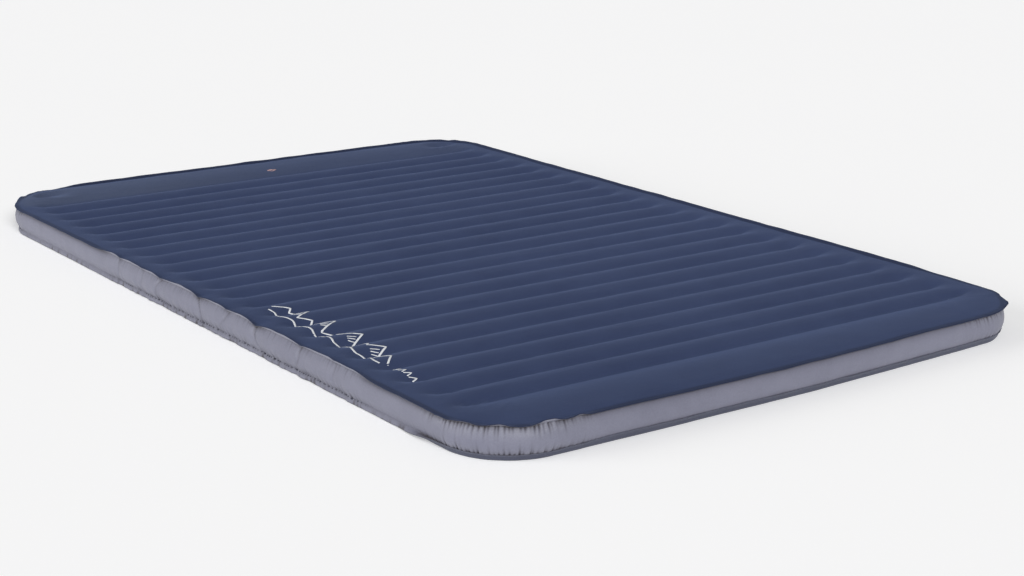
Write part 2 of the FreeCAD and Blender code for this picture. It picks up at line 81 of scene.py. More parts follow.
seam = {
    "rim": 0.008,              # welded rim outside the seam
    "radius": 0.117,           # corner radius of the seam, seen from above
    "fabric": 0.001,           # thickness of the top and bottom fabric
    "lining": 0.0008,          # thickness of the wall fabric
    "tuck": 0.0025,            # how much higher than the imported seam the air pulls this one
    # creases along the left wall, where it was folded: place and strength
    "creases": ((-0.53, 0.35), (-0.42, 0.6), (-0.26, 1.0), (-0.15, 0.5),
                (-0.04, 0.95), (0.12, 0.6), (0.2, 0.35), (0.3, 0.5)),
}
seamHalfWidth = topHigh[0] - seam["rim"]
seamHalfLength = topHigh[1] - seam["rim"]
topSeam = topLow[2] + seam["fabric"] + seam["tuck"]   # outer face of the top fabric at its seam
bottomSeam = bottomHigh[2] - seam["fabric"]
crest = topHigh[2]


def smooth(t):
    t = min(max(t, 0.0), 1.0)
    return t * t * (3 - 2 * t)


def ripple(x, y, size, seed=0.0):
    return noise.noise(Vector((x / size, y / size, seed)))  # about -1 to 1, features as wide as size


def straightRun(start, end, outward, count):
    return [(start.lerp(end, i / count), outward) for i in range(count)]


def cornerRun(centre, angle, count):
    turns = [angle - math.pi / 2 * i / count for i in range(count)]
    directions = [Vector((math.cos(a), math.sin(a))) for a in turns]
    return [(centre + direction * seam["radius"], direction) for direction in directions]


def walkSeam(longCount, shortCount, cornerCount):
    # the seam seen from above, clockwise from the near end of the left side: place and outward direction
    w, l = seamHalfWidth, seamHalfLength
    cx, cy = w - seam["radius"], l - seam["radius"]
    return (straightRun(Vector((-w, -cy)), Vector((-w, cy)), Vector((-1, 0)), longCount)
            + cornerRun(Vector((-cx, cy)), math.pi, cornerCount)
            + straightRun(Vector((-cx, l)), Vector((cx, l)), Vector((0, 1)), shortCount)
            + cornerRun(Vector((cx, cy)), math.pi / 2, cornerCount)
            + straightRun(Vector((w, cy)), Vector((w, -cy)), Vector((1, 0)), longCount)
            + cornerRun(Vector((cx, -cy)), 0.0, cornerCount)
            + straightRun(Vector((cx, -l)), Vector((-cx, -l)), Vector((0, -1)), shortCount)
            + cornerRun(Vector((-cx, -cy)), -math.pi / 2, cornerCount))


def seamInset(x, y):
    # how far a point lies inside the seam
    qx = abs(x) - (seamHalfWidth - seam["radius"])
    qy = abs(y) - (seamHalfLength - seam["radius"])
    return seam["radius"] - math.hypot(max(qx, 0), max(qy, 0)) - min(max(qx, qy), 0)


def settled(p):
    # where the pad lies, the foot end's right corner and the head end's left corner draw in a little
    foot = smooth((p.x + 0.1) / 0.7) * smooth((-0.79 - p.y) / 0.15)
    head = smooth((-p.x - 0.488) / 0.09) * smooth((p.y - 0.8) / 0.13)
    corner = smooth((p.x - 0.42) / 0.18) * smooth((-0.79 - p.y) / 0.16)
    x = p.x + 0.016 * head - 0.012 * corner
    y = p.y + 0.024 * foot - 0.010 * head + 0.006 * corner
    return Vector((x, y, p.z))


def cornerness(x, y):
    # 1 round a corner, fading along the sides
    qx = abs(x) - (seamHalfWidth - seam["radius"])
    qy = abs(y) - (seamHalfLength - seam["radius"])
    return smooth(1 + min(qx, qy) / 0.11)


def leftFolds(x, y):
    # 1 along the stretch of the left side that was folded
    return smooth((-x - 0.5) / 0.08) * smooth((y + 0.68) / 0.12) * smooth((0.42 - y) / 0.12)


def pillow(y):
    # 0 on a crease and 1 midway between two
    dip = 0.0
    for mark, strength in seam["creases"]:
        side = 0.022 if y > mark else 0.036   # each crease falls away more steeply on one side
        dip = max(dip, strength * math.exp(-abs(y - mark) / side))
    return 1 - dip


def gather(x, y, size, seed):
    # fine fabric gathers, sharp in the valleys
    return abs(ripple(x, y, size, seed)) + 0.5 * abs(ripple(x, y, size * 0.45, seed + 4))


valveNodes = {side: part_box(f"{side}_valve_housing") for side in ("left", "right")}
valveCentres = {side: (Vector(low) + Vector(high)) / 2 for side, (low, high) in valveNodes.items()}
rimShape = {
    "topRest": -4.0, "topWander": 8.0,         # degrees that the top rim stands up
    "bottomRest": 52.0, "bottomWander": 9.0,
    "farLift": 40.0,                           # along the head end and the right side
    "foldLift": 76.0,                          # along the folded length of the left side
    "leftDroop": 138.0, "steepest": -86.0,     # the left side's bottom rim hangs down to the ground instead
    "valveDroop": 40.0, "valveReach": 0.04,    # the bottom rim lies low under a valve
    # standing lengths of the top rim: x, y, half length, degrees
    "humps": ((-0.6, -0.9, 0.03, 30.0), (-0.555, -0.93, 0.022, 58.0),
              (-0.495, -0.965, 0.026, 58.0), (-0.44, -0.967, 0.02, 30.0)),
    # pointed corners: x, y, extra reach, degrees
    "points": ((0.568, -0.933, 0.007, 6.0), (-0.568, 0.933, 0.004, 10.0)),
}


def topRim(x, y):
    # outward shift and lift of the top seam, the rim's angle and its reach
    folds, q = leftFolds(x, y), pillow(y)
    shift = 0.0012 * ripple(x, y, 0.11, 1) + 0.0006 * ripple(x, y, 0.03, 2) + folds * (0.0030 * q - 0.0024)
    lift = 0.0010 * ripple(x, y, 0.14, 3) + folds * (0.0034 * q - 0.0026 + 0.0012 * ripple(x, y, 0.07, 8))
    angle = rimShape["topRest"] + rimShape["topWander"] * ripple(x, y, 0.06, 5)
    angle += folds * rimShape["foldLift"] * q
    reach = seam["rim"] * (1 + 0.12 * ripple(x, y, 0.05, 6) - folds * (0.42 - 0.35 * ripple(x, y, 0.05, 9)))
    for hx, hy, half, degrees in rimShape["humps"]:
        angle += degrees * math.exp(-((x - hx) ** 2 + (y - hy) ** 2) / (half * half) * 1.6)
    for px, py, extra, degrees in rimShape["points"]:
        near = math.exp(-((x - px) ** 2 + (y - py) ** 2) / 0.0006)
        reach += extra * near
        angle += degrees * near
    far = max(smooth((y - 0.9) / 0.05), smooth((x - 0.55) / 0.04) * smooth((y + 0.8) / 0.25))
    angle += rimShape["farLift"] * far * (1 - cornerness(x, y) * smooth(-x / 0.3))
    fine = cornerness(x, y) * 9.0 * ripple(x, y, 0.013, 7)
    return shift, lift, math.radians(angle + fine), reach


def nearValve(x, y):
    # 1 beside a valve in the head end's wall
    away = abs(x) - abs(valveCentres["left"].x)
    return smooth((y - 0.9) / 0.05) * math.exp(-(away / rimShape["valveReach"]) ** 2)


def leftSide(x, y):
    # 1 along the left side, fading towards the foot end
    return smooth((-x - 0.485) / 0.11) * smooth((y + 0.88) / 0.18)


def bottomRim(x, y):
    folds, q = leftFolds(x, y), pillow(y)
    crinkle = folds * (0.0016 * q - 0.0012 + 0.0016 * ripple(x, y, 0.018, 18))
    shift = 0.0010 * ripple(x, y, 0.12, 11) + 0.0007 * ripple(x, y, 0.03, 12) + crinkle
    left = leftSide(x, y)
    lift = 0.0006 * ripple(x, y, 0.1, 13) + folds * 0.0012 * ripple(x, y, 0.035, 14) - 0.002 * (1 - left)
    angle = rimShape["bottomRest"] + rimShape["bottomWander"] * ripple(x, y, 0.05, 15)
    angle -= rimShape["leftDroop"] * left
    angle += (cornerness(x, y) * 14 + folds * 26) * ripple(x, y, 0.016, 16)
    angle = max(angle, rimShape["steepest"]) - rimShape["valveDroop"] * nearValve(x, y)
    tucked = cornerness(x, y) * smooth(-x / 0.3) * (1 - left)   # narrower at the foot end's left corner
    reach = seam["rim"] * (1 + 0.1 * ripple(x, y, 0.04, 17) - 0.5 * tucked)
    return shift, lift, math.radians(angle), reach


def rimPoint(place, outward, along, shape, level, raised=0.0):
    # a point of a rim: along is 0 at the seam and 1 at the edge, raised moves it square to the rim
    shift, lift, angle, reach = shape
    out = shift + along * reach * math.cos(angle) - raised * math.sin(angle)
    up = lift + along * reach * math.sin(angle) + raised * math.cos(angle)
    flat = place + outward * out
    return Vector((flat.x, flat.y, max(level + up, 0.0001)))   # nothing hangs below the ground


def newPiece(name, points, faces, material, soft=True):
    mesh = bpy.data.meshes.new(name)
    mesh.from_pydata([settled(p) for p in points] if soft else points, [], faces)
    mesh.validate()
    mesh.materials.append(material)
    for polygon in mesh.polygons:
        polygon.use_smooth = True
    piece = bpy.data.objects.new(name, mesh)
    scene.collection.objects.link(piece)
    return piece


def thicken(piece, thickness, offset=-1):
    # grows inwards from the outer face; with offset 0 to both sides
    solid = piece.modifiers.new("fabric", "SOLIDIFY")
    solid.thickness = thickness
    solid.offset = offset
    solid.use_even_offset = False


def applyModifiers(piece):
    bpy.context.view_layer.update()
    evaluated = piece.evaluated_get(bpy.context.evaluated_depsgraph_get())
    mesh = bpy.data.meshes.new_from_object(evaluated)
    piece.modifiers.clear()
    old = piece.data
    piece.data = mesh
    bpy.data.meshes.remove(old)
    mesh.name = piece.name


def setAttribute(piece, name, values):
    layer = piece.data.attributes.get(name) or piece.data.attributes.new(name, "FLOAT", "POINT")
    layer.data.foreach_set("value", values)


def nodeMaker(material):
    tree = material.node_tree

    def make(kind, links=None, **values):
        node = tree.nodes.new(kind)
        for key, value in values.items():
            if key.startswith("in_"):
                node.inputs[key[3:].replace("_", " ")].default_value = value
            else:
                setattr(node, key, value)
        for socket, source in (links or {}).items():
            tree.links.new(source, node.inputs[socket])
        return node
    return make, tree


def newMaterial(name):
    material = bpy.data.materials.new(name)
    material.use_nodes = True
    material.node_tree.nodes.clear()
    make, tree = nodeMaker(material)
    output = make("ShaderNodeOutputMaterial")
    shader = make("ShaderNodeBsdfPrincipled")
    tree.links.new(shader.outputs[0], output.inputs[0])
    return material, make, tree, shader


def fabric(name, look):
    # woven cloth: threads both ways, soft mottling, a paler colour for rubbed edges and as painted highlight
    # and sheen, and a dark colour as painted shade, each where its attribute is high
    material, make, tree, shader = newMaterial(name)
    coords = make("ShaderNodeTexCoord").outputs["Object"]
    threads = []
    bandScale = 2 * math.pi / 20 / look["thread"]      # at scale 1 a wave texture's bands lie 2 pi / 20 apart
    for direction in ("X", "Y", "Z"):
        wave = make("ShaderNodeTexWave", {"Vector": coords}, wave_type="BANDS", bands_direction=direction,
                    in_Scale=bandScale, in_Distortion=1.2, in_Detail=1.0)
        threads.append(wave.outputs["Fac"])
    weave = make("ShaderNodeMath", {0: threads[0], 1: threads[1]}, operation="MULTIPLY")
    weave = make("ShaderNodeMath", {0: weave.outputs[0], 1: threads[2]}, operation="ADD")
    mottle = make("ShaderNodeTexNoise", {"Vector": coords},
                  in_Scale=look["mottle"], in_Detail=4.0, in_Roughness=0.55)
    cloud = make("ShaderNodeTexNoise", {"Vector": coords}, in_Scale=2.6, in_Detail=2.0)
    slub = make("ShaderNodeTexNoise", {"Vector": coords}, in_Scale=420.0, in_Detail=2.0, in_Roughness=0.6)
    tone = make("ShaderNodeMath", {0: mottle.outputs["Fac"], 1: cloud.outputs["Fac"]}, operation="ADD")
    tone = make("ShaderNodeMath", {0: tone.outputs[0], 1: slub.outputs["Fac"]}, operation="ADD")
    ramp = make("ShaderNodeMapRange", {"Value": tone.outputs[0]})
    ramp.inputs["From Min"].default_value, ramp.inputs["From Max"].default_value = 1.05, 1.95
    base = make("ShaderNodeMix", {"Factor": ramp.outputs["Result"]}, data_type="RGBA")
    base.inputs["A"].default_value = (*look["dark"], 1)
    base.inputs["B"].default_value = (*look["light"], 1)
    # a paler colour for rubbed edges, and also painted highlight and painted sheen
    wear_and_highlight = make("ShaderNodeAttribute", attribute_name="wear_and_highlight").outputs["Fac"]
    wearAndHighlightAmount = make("ShaderNodeMath", {0: wear_and_highlight, 1: slub.outputs["Fac"]}, operation="MULTIPLY")
    edge = make("ShaderNodeMix", {"Factor": wearAndHighlightAmount.outputs[0], "A": base.outputs["Result"]}, data_type="RGBA")
    edge.inputs["B"].default_value = (*look["wearAndHighlightColour"], 1)
    # painted shade: a dark colour in creases, gathers, along seams and under rims
    paintedShadeFac = make("ShaderNodeAttribute", attribute_name="painted_shade").outputs["Fac"]
    final = make("ShaderNodeMix", {"Factor": paintedShadeFac, "A": edge.outputs["Result"]}, data_type="RGBA")
    final.inputs["B"].default_value = (*look["paintedShadeColour"], 1)
    tree.links.new(final.outputs["Result"], shader.inputs["Base Color"])
    rough = make("ShaderNodeMapRange", {"Value": mottle.outputs["Fac"]})
    rough.inputs["To Min"].default_value = look["roughness"] - 0.06
    rough.inputs["To Max"].default_value = look["roughness"] + 0.08
    tree.links.new(rough.outputs["Result"], shader.inputs["Roughness"])
    fine = make("ShaderNodeBump", {"Height": weave.outputs[0]},
                in_Strength=look["weaveStrength"], in_Distance=0.0002)
    crumple = make("ShaderNodeTexNoise", {"Vector": coords},
                   in_Scale=look["crumple"], in_Detail=3.0, in_Roughness=0.5)
    bump = make("ShaderNodeBump", {"Height": crumple.outputs["Fac"], "Normal": fine.outputs[0]},
                in_Strength=look["crumpleStrength"], in_Distance=0.002)
    tree.links.new(bump.outputs[0], shader.inputs["Normal"])
    shader.inputs["Sheen Weight"].default_value = look["sheen"]
    shader.inputs["Sheen Roughness"].default_value = 0.45
    shader.inputs["Sheen Tint"].default_value = (*look["sheenTint"], 1)
    shader.inputs["Specular IOR Level"].default_value = look["specular"]
    return material


def plastic(name, look):
    # moulded plastic or rubber: fine spark-eroded grain, faint marbling, polished high spots
    material, make, tree, shader = newMaterial(name)
    coords = make("ShaderNodeTexCoord").outputs["Object"]
    grain = make("ShaderNodeTexNoise", {"Vector": coords},
                 in_Scale=look["grain"], in_Detail=3.0, in_Roughness=0.6)
    flow = make("ShaderNodeTexNoise", {"Vector": coords}, in_Scale=90.0, in_Detail=2.0)
    base = make("ShaderNodeMix", {"Factor": flow.outputs["Fac"]}, data_type="RGBA")
    base.inputs["A"].default_value = (*look["dark"], 1)
    base.inputs["B"].default_value = (*look["light"], 1)
    tree.links.new(base.outputs["Result"], shader.inputs["Base Color"])
    rough = make("ShaderNodeMapRange", {"Value": grain.outputs["Fac"]})
    rough.inputs["To Min"].default_value = look["roughness"] - 0.1
    rough.inputs["To Max"].default_value = look["roughness"] + 0.12
    tree.links.new(rough.outputs["Result"], shader.inputs["Roughness"])
    bump = make("ShaderNodeBump", {"Height": grain.outputs["Fac"]},
                in_Strength=look["grainStrength"], in_Distance=0.0001)
    tree.links.new(bump.outputs[0], shader.inputs["Normal"])
    return material


navyCloth = fabric("navyCloth", {
    "dark": (0.030, 0.043, 0.099), "light": (0.042, 0.059, 0.127),
    "wearAndHighlightColour": (0.10, 0.12, 0.17), "paintedShadeColour": (0.012, 0.014, 0.028),
    "thread": 0.0009, "mottle": 16.0, "crumple": 26.0, "roughness": 0.58, "specular": 0.12,
    "weaveStrength": 0.25, "crumpleStrength": 0.10, "sheen": 0.10, "sheenTint": (0.36, 0.52, 1.0)})
greyCloth = fabric("greyCloth", {
    "dark": (0.148, 0.150, 0.200), "light": (0.186, 0.189, 0.245),
    "wearAndHighlightColour": (0.42, 0.43, 0.48), "paintedShadeColour": (0.035, 0.030, 0.036),
    "thread": 0.0008, "mottle": 22.0, "crumple": 55.0, "roughness": 0.48, "specular": 0.3,
    "weaveStrength": 0.22, "crumpleStrength": 0.16, "sheen": 0.06, "sheenTint": (0.9, 0.9, 1.0)})
slateCloth = fabric("slateCloth", {
    "dark": (0.045, 0.049, 0.080), "light": (0.064, 0.069, 0.105),
    "wearAndHighlightColour": (0.26, 0.27, 0.32), "paintedShadeColour": (0.02, 0.02, 0.028),
    "thread": 0.0009, "mottle": 20.0, "crumple": 40.0, "roughness": 0.55, "specular": 0.4,
    "weaveStrength": 0.3, "crumpleStrength": 0.14, "sheen": 0.05, "sheenTint": (0.7, 0.76, 0.9)})
filmCloth = fabric("filmCloth", {
    "dark": (0.50, 0.52, 0.55), "light": (0.62, 0.64, 0.67),
    "wearAndHighlightColour": (0.7, 0.7, 0.72), "paintedShadeColour": (0.3, 0.3, 0.32),
    "thread": 0.0012, "mottle": 30.0, "crumple": 60.0, "roughness": 0.36, "specular": 0.5,
    "weaveStrength": 0.1, "crumpleStrength": 0.2, "sheen": 0.0, "sheenTint": (1.0, 1.0, 1.0)})
battingCloth = fabric("battingCloth", {
    "dark": (0.66, 0.65, 0.61), "light": (0.82, 0.81, 0.77),
    "wearAndHighlightColour": (0.9, 0.9, 0.88), "paintedShadeColour": (0.4, 0.39, 0.36),
    "thread": 0.0025, "mottle": 120.0, "crumple": 160.0, "roughness": 0.9, "specular": 0.2,
    "weaveStrength": 0.2, "crumpleStrength": 0.6, "sheen": 0.5, "sheenTint": (1.0, 1.0, 1.0)})
whitePrint = plastic("whitePrint", {
    "dark": (0.72, 0.74, 0.78), "light": (0.84, 0.86, 0.88),
    "grain": 900.0, "grainStrength": 0.15, "roughness": 0.5})
rosePrint = plastic("rosePrint", {
    "dark": (0.42, 0.25, 0.27), "light": (0.52, 0.36, 0.37),
    "grain": 900.0, "grainStrength": 0.15, "roughness": 0.5})
shellPlastic = plastic("shellPlastic", {
    "dark": (0.040, 0.042, 0.048), "light": (0.055, 0.058, 0.066),
    "grain": 1500.0, "grainStrength": 0.35, "roughness": 0.42})
capPlastic = plastic("capPlastic", {
    "dark": (0.028, 0.030, 0.036), "light": (0.040, 0.043, 0.050),
    "grain": 1500.0, "grainStrength": 0.3, "roughness": 0.36})
sealRubber = plastic("sealRubber", {
    "dark": (0.13, 0.135, 0.15), "light": (0.17, 0.175, 0.19),
    "grain": 700.0, "grainStrength": 0.2, "roughness": 0.62})
print("materials ready")

top = {
    "roll": 0.058,            # width over which the top rolls down to its seam
    "grooveDepth": 0.0112,    # how far a sewn channel's groove lies under its crest
    "fadeFrom": 0.585, "fadeTo": 0.528,  # a groove runs out between these distances from the middle
    "sideBand": 0.1,          # border that follows the rounded outline
    "spreadBand": 0.085,      # width in which the grid's lines spread towards a corner
    "rowSteps": 12, "endSteps": 14, "middleSteps": 24, "borderSteps": 26,   # how fine the grid is
    "insets": (0.0, 0.0025, 0.006, 0.011, 0.017, 0.025, 0.034, 0.045, 0.058, 0.075, 0.1),
    "dimples": ((-0.505, 0.914, 0.036, 0.017, 0.0135),      # x, y, half widths, depth
                (0.53, 0.9, 0.036, 0.017, 0.012)),
    "swell": 0.0012,          # how far a channel's crest rises as the cloth swells
    "pressure": 1.1, "frames": 12,
    "slack": 0.02, "looseBand": 0.09,     # the cloth is this much longer within this band along the seam
    "cap": 0.0018,                        # no point moves further than this
}


def topHeight(x, y):
    inset = seamInset(x, y)
    t = min(max(inset / top["roll"], 0.0), 1.0)
    ridge = crest - top["swell"]             # the cloth swells up from here
    z = topSeam + (ridge - topSeam) * (1 - (1 - t) ** 2) ** 0.8
    nearest = min(grooveLines, key=lambda g: abs(g - y))
    away = min(abs(y - nearest) / (pitch / 2), 1.0)
    wander = 0.012 * ripple(nearest, 7.0 if x > 0 else 3.0, 0.05, 21)
    fade = smooth((top["fadeFrom"] + wander - abs(x)) / (top["fadeFrom"] - top["fadeTo"]))
    z -= (top["grooveDepth"] - top["swell"]) * (1 - away) ** 1.25 * fade
    # between a groove's end and the seam the cloth is pulled into a shallow valley
    between = math.sin(math.pi * min(max(inset / 0.11, 0.0), 1.0))
    valley = smooth((abs(x) - 0.45) / 0.06) * (1 - away) ** 2 * between
    z -= 0.0014 * valley
    for dx, dy, wide, deep, depth in top["dimples"]:
        z -= depth * math.exp(-((x - dx) / wide) ** 2 - ((y - dy) / deep) ** 2)
    calm = 0.35 + 0.65 * smooth(1 - inset / 0.16)
    z += 0.0011 * calm * ripple(x, y, 0.12, 22) + 0.0006 * calm * ripple(x, y, 0.045, 23)
    z -= 0.0007 * gather(x, y, 0.02, 24) * cornerness(x, y) * smooth(1 - inset / 0.04)
    return z


def spread(pairs):
    # stations along a side from its middle to its end, given as (reach, number of steps)
    stations, last = [0.0], 0.0
    for reach, count in pairs:
        stations += [last + (reach - last) * (i + 1) / count for i in range(count)]
        last = reach
    return stations


def bothWays(stations):
    return [-s for s in reversed(stations[1:])] + stations


def sidePoint(along, fixed, innerHalf, kind):
    # the seam point that belongs to a station of the inner rectangle's side, and its outward direction
    halves = (seamHalfWidth, seamHalfLength)
    r, (w, length) = seam["radius"], halves if kind == "long" else halves[::-1]
    straight = length - r
    total = straight + r * math.pi / 4
    keep = innerHalf - top["spreadBand"]   # stations stay put up to here, and spread towards the corner
    a = abs(along)
    s = a if a <= keep else keep + (a - keep) / (innerHalf - keep) * (total - keep)
    if s <= straight:
        main, turn, sideways = s, 0.0, w
    else:
        turn = (s - straight) / r
        main = straight + r * math.sin(turn)
        sideways = w - r + r * math.cos(turn)
    sign = 1 if along >= 0 else -1
    place, outward = (fixed * sideways, sign * main), (fixed * math.cos(turn), sign * math.sin(turn))
    if kind == "short":
        place, outward = place[::-1], outward[::-1]
    return Vector(place), Vector(outward)


def borderMesh(xs, ys, insets, rimSteps, height, rim, level, flip=1.0):
    # a sheet over the rounded outline: an inner grid, rings that follow the seam, then the rim
    points, faces, grid = [], [], {}
    for j, y in enumerate(ys):
        for i, x in enumerate(xs):
            grid[i, j] = len(points)
            points.append(Vector((x, y, height(x, y))))
    for j in range(len(ys) - 1):
        for i in range(len(xs) - 1):
            faces.append((grid[i, j], grid[i + 1, j], grid[i + 1, j + 1], grid[i, j + 1]))
    innerX, innerY = xs[-1], ys[-1]
    loop = []                              # counter-clockwise from the near left corner
    last = (len(xs) - 1, len(ys) - 1)
    loop += [(i, 0, "short", -1, xs[i]) for i in range(last[0])]
    loop += [(last[0], j, "long", 1, ys[j]) for j in range(last[1])]
    loop += [(i, last[1], "short", 1, xs[i]) for i in range(last[0], 0, -1)]
    loop += [(0, j, "long", -1, ys[j]) for j in range(last[1], 0, -1)]
    outer = []
    for i, j, kind, fixed, along in loop:
        place, outward = sidePoint(along, fixed, innerY if kind == "long" else innerX, kind)
        outer.append((grid[i, j], place, outward))
    rings = [[g for g, _, _ in outer]]
    for inset in sorted(insets, reverse=True)[1:]:
        ring = []
        for g, place, outward in outer:
            t = inset / insets[-1]
            inner = points[g]
            x, y = place.x + (inner.x - place.x) * t, place.y + (inner.y - place.y) * t
            shift, lift, _, _ = rim(place.x, place.y)
            hold = smooth(1 - inset / 0.05)
            z = max(height(x, y) + lift * hold, 0.0)
            ring.append(len(points))
            points.append(Vector((x + outward.x * shift * hold, y + outward.y * shift * hold, z)))
        rings.append(ring)
    for step in range(1, rimSteps + 1):
        ring = []
        for g, place, outward in outer:
            ring.append(len(points))
            points.append(rimPoint(place, outward, step / rimSteps, rim(place.x, place.y), level))
        rings.append(ring)
    for a, b in zip(rings, rings[1:]):
        count = len(a)
        faces += [(a[k], b[k], b[(k + 1) % count], a[(k + 1) % count]) for k in range(count)]
    if flip < 0:
        faces = [tuple(reversed(f)) for f in faces]
    return points, faces, rings


def inflate(piece, pins, loose, values):
    # swells a sheet with cloth, held at its seams, and lets no point wander further than the cap
    start = [v.co.copy() for v in piece.data.vertices]
    group = piece.vertex_groups.new(name="held")
    for index, weight in pins:
        group.add([index], weight, "REPLACE")
    slackGroup = piece.vertex_groups.new(name="loose")
    for index, weight in loose:
        slackGroup.add([index], weight, "REPLACE")
    cloth = piece.modifiers.new("swell", "CLOTH")
    settings = cloth.settings
    settings.quality = 5
    settings.mass = 0.06
    settings.tension_stiffness = settings.compression_stiffness = 12
    settings.shear_stiffness = 4
    settings.bending_stiffness = 0.02
    settings.use_pressure = True
    settings.uniform_pressure_force = values["pressure"]
    settings.shrink_min, settings.shrink_max = 0.0, -values["slack"]
    settings.vertex_group_shrink = "loose"
    settings.effector_weights.gravity = 0
    settings.vertex_group_mass = "held"
    settings.pin_stiffness = 2
    cloth.collision_settings.use_collision = False
    cloth.point_cache.frame_start, cloth.point_cache.frame_end = 1, values["frames"]
    for f in range(1, values["frames"] + 1):
        scene.frame_set(f)
    applyModifiers(piece)
    piece.vertex_groups.clear()
    for vertex, before in zip(piece.data.vertices, start):
        move = vertex.co - before
        if move.length > values["cap"]:
            vertex.co = before + move.normalized() * values["cap"]
    scene.frame_set(1)


innerHalfY, innerHalfX = seamHalfLength - top["sideBand"], seamHalfWidth - top["sideBand"]


def lengthStations(steps):
    # rows from end to end of the inner grid, this many in each channel
    rows = [grooveLines[0] + pitch / steps * i for i in range(steps * (len(grooveLines) - 1) + 1)]
    last, count = grooveLines[-1], top["endSteps"]
    ends = [last + (innerHalfY - last) * (i + 1) / count for i in range(count)]
    return [-y for y in reversed(ends)] + rows + ends


ys = lengthStations(top["rowSteps"])
xs = bothWays(spread(((innerHalfX - top["spreadBand"], top["middleSteps"]),
                      (innerHalfX, top["borderSteps"]))))
points, faces, rings = borderMesh(xs, ys, top["insets"], 3, topHeight, topRim, topSeam)
topSheet = newPiece("topFabric", points, faces, navyCloth)
seamRing = len(top["insets"]) - 1
held = {v for ring in rings[seamRing:] for v in ring}
pins = [(v, 1.0) for v in held]
for index, point in enumerate(points):
    onGroove = min(abs(point.y - g) for g in grooveLines) < 0.0005 and abs(point.x) < top["fadeTo"]
    if onGroove and index not in held:
        pins.append((index, 1.0))
band = top["looseBand"]
loose = [(index, smooth(1 - seamInset(p.x, p.y) / band)) for index, p in enumerate(points)
         if -0.001 < seamInset(p.x, p.y) < band]
inflate(topSheet, pins, loose, top)
print("top fabric swelled with cloth")
paintedSheenTop, paintedShadeTop = [0.0] * len(topSheet.data.vertices), [0.0] * len(topSheet.data.vertices)
# painted shade: dark rings along the top's seam and rim
for ring, shade in zip(rings[-5:], (0.15, 0.55, 0.65, 0.65, 0.6)):
    for vertex in ring:
        paintedShadeTop[vertex] = shade
for vertex in topSheet.data.vertices:      # painted sheen: the head's end channel is paler, more so on the left
    x, y = vertex.co.x, vertex.co.y
    paintedSheenStrength = 0.75 - 0.4 * smooth((x + 0.4) / 0.6)
    paintedSheenTop[vertex.index] = paintedSheenStrength * smooth((y - 0.815) / 0.03) * smooth(seamInset(x, y) / 0.03)
setAttribute(topSheet, "wear_and_highlight", paintedSheenTop)
setAttribute(topSheet, "painted_shade", paintedShadeTop)
topSurface = BVHTree.FromPolygons([v.co.copy() for v in topSheet.data.vertices],
                                  [tuple(p.vertices) for p in topSheet.data.polygons])
thicken(topSheet, seam["fabric"])
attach(topSheet, "top")
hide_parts("top_sheet")
print("top fabric done:", len(topSheet.data.polygons), "faces")

wall = {
    "longCount": 500, "shortCount": 340, "cornerCount": 128, "rows": 14,
    "roundness": 2.1,                                 # 2 is a plain arch, more is a flatter one
    "creaseDepth": 0.0030, "creaseWidth": 0.0042,
    "valveDent": 0.0036,                              # a valve pulls the wall in
    # gathers: spacing, depth, width, how far they run from a seam
    "gatherStep": 0.0074, "gatherDepth": 0.0034, "gatherWidth": 0.0016, "gatherReach": 0.0075,
    "gap": 0.00005,                                   # between the rim's two layers
    # rows of the lips: how far out, and below also the shade at rest, in crumples and where it hangs
    "lowerLip": ((0.94, 0.55, 2.6, 0.25), (0.6, 0.55, 2.2, 0.05), (0.25, 0.9, 1.2, 0.1)),
    "upperLip": (0.25, 0.6, 0.94),
    "holeRoom": 0.0033,                               # room round the drum for when the top sinks
}
lipDrop = seam["fabric"] + wall["gap"] + seam["lining"]      # from the rim's outer face to the wall lip's
bulge = wallHigh[0] - seamHalfWidth
wallLevels = [bottomSeam + lipDrop + (topSeam - bottomSeam - 2 * lipDrop) * i / wall["rows"]
              for i in range(wall["rows"] + 1)]
tall = wallLevels[-1] - wallLevels[0]
drumRadius = max((high[2] - low[2]) / 2 for low, high in valveNodes.values())
valveHole = drumRadius + wall["holeRoom"]      # the weld ring shows in the gap


def chance(k, seed):
    # the same number between 0 and 1 each time for a gather and a seed
    return (math.sin(k * 12.99 + seed * 78.2) * 43758.5) % 1.0


def pleat(s, seed, away):
    # depth of the gathers at s metres along a seam and this far away from it, 0 to 1
    deepest, step = 0.0, wall["gatherStep"]
    for k in range(int(s / step) - 1, int(s / step) + 2):
        across = (s - (k + 0.5 + 0.7 * (chance(k, seed) - 0.5)) * step) / wall["gatherWidth"]
        reach = wall["gatherReach"] * (0.5 + 1.2 * chance(k, seed + 1))
        strength = 0.35 + 0.65 * chance(k, seed + 2)
        deepest = max(deepest, strength * math.exp(-across * across) * math.exp(-(away / reach) ** 1.5))
    return deepest


